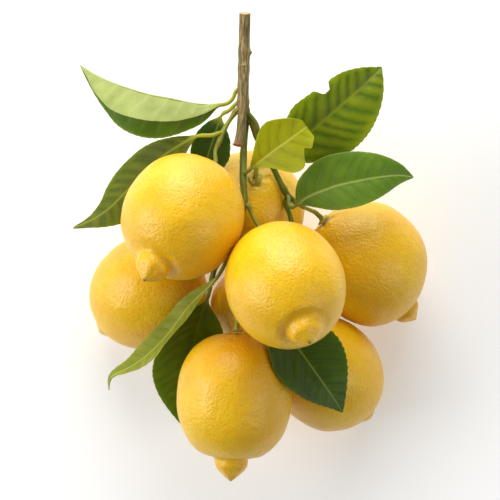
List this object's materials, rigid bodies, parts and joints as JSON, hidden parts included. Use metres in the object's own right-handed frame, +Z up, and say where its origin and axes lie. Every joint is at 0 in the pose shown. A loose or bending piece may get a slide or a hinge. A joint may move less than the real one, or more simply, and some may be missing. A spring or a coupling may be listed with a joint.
{
  "type": "lemons on a branch",
  "caption": "Cut woody branch of fresh lemons with green leaves, laid flat: oval yellow fruits with blunt nipples on short stalks, for a kitchen, market or still life.",
  "frame": {"origin": "middle of the bunch's footprint, on the flat surface that it lies on", "axes": "+X across the bunch, +Y along the woody branch towards its cut end, +Z up, away from the surface"},
  "size_m": [0.1896, 0.2472, 0.1323],
  "materials": {
    "peel": "waxy, satin, finely dimpled",
    "leaf": "waxy, semi-gloss upper side, paler dull underside",
    "bark": "dull, finely ridged",
    "twig": "smooth, satin",
    "calyx": "dull, dry"
  },
  "bodies": {
    "root": {"lemon_upper_left": "peel", "calyx_upper_left": "calyx", "lemon_left_back": "peel", "calyx_left_back": "calyx", "lemon_centre_front": "peel", "calyx_centre_front": "calyx", "lemon_right_back": "peel", "calyx_right_back": "calyx", "lemon_bottom": "peel", "calyx_bottom": "calyx", "lemon_lower_right": "peel", "calyx_lower_right": "calyx", "lemon_upper_back": "peel", "calyx_upper_back": "calyx", "lemon_small_back": "peel", "calyx_small_back": "calyx", "branch": "bark", "shoot_main": "twig", "shoot_right": "twig", "shoot_left": "twig", "shoot_lower": "twig", "stalk_upper_left": "twig", "stalk_centre_front": "twig", "stalk_right_back": "twig", "stalk_bottom": "twig", "stalk_lower_right": "twig", "stalk_upper_back": "twig", "stalk_left_back": "twig", "stalk_small_back": "twig", "leaf_top_left": "leaf", "leaf_left": "leaf", "leaf_behind": "leaf", "leaf_centre": "leaf", "leaf_upper_right": "leaf", "leaf_right": "leaf", "leaf_lower_left": "leaf", "leaf_edge_on": "leaf", "leaf_lower_right": "leaf"}
  },
  "joints": []
}
